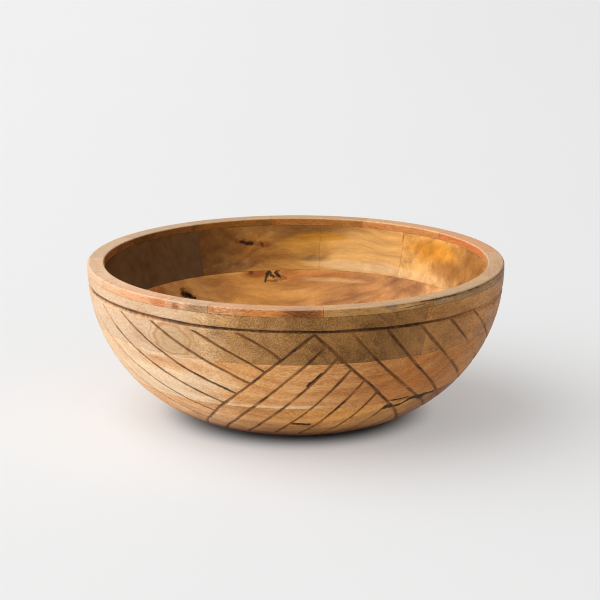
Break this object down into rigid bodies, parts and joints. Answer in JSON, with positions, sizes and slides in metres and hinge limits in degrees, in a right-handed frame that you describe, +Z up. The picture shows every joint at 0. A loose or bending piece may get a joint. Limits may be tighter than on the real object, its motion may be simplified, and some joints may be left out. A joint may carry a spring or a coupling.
{
  "type": "carved wooden bowl",
  "caption": "Wide turned wooden bowl glued up from stacked blocks, with a ring groove and slanting hand-cut strokes on its outside.",
  "frame": {"origin": "middle of the flat underside, on the surface that the bowl stands on", "axes": "+Z up through the middle of the rim, -Y towards the side where two strokes meet in a triangle's tip, +X to that side's right"},
  "size_m": [0.3, 0.3, 0.113],
  "materials": {
    "base_wood": "oiled satin",
    "middle_wood": "oiled satin",
    "upper_wood": "oiled satin",
    "rim_wood": "oiled satin"
  },
  "bodies": {
    "root": {"base_slab": "base_wood", "middle_ring": "middle_wood", "upper_ring_block_1": "upper_wood", "upper_ring_block_2": "upper_wood", "upper_ring_block_3": "upper_wood", "upper_ring_block_4": "upper_wood", "upper_ring_block_5": "upper_wood", "rim_segment_01": "rim_wood", "rim_segment_02": "rim_wood", "rim_segment_03": "rim_wood", "rim_segment_04": "rim_wood", "rim_segment_05": "rim_wood", "rim_segment_06": "rim_wood", "rim_segment_07": "rim_wood", "rim_segment_08": "rim_wood", "rim_segment_09": "rim_wood", "rim_segment_10": "rim_wood", "rim_segment_11": "rim_wood", "rim_segment_12": "rim_wood", "rim_segment_13": "rim_wood"}
  },
  "joints": []
}
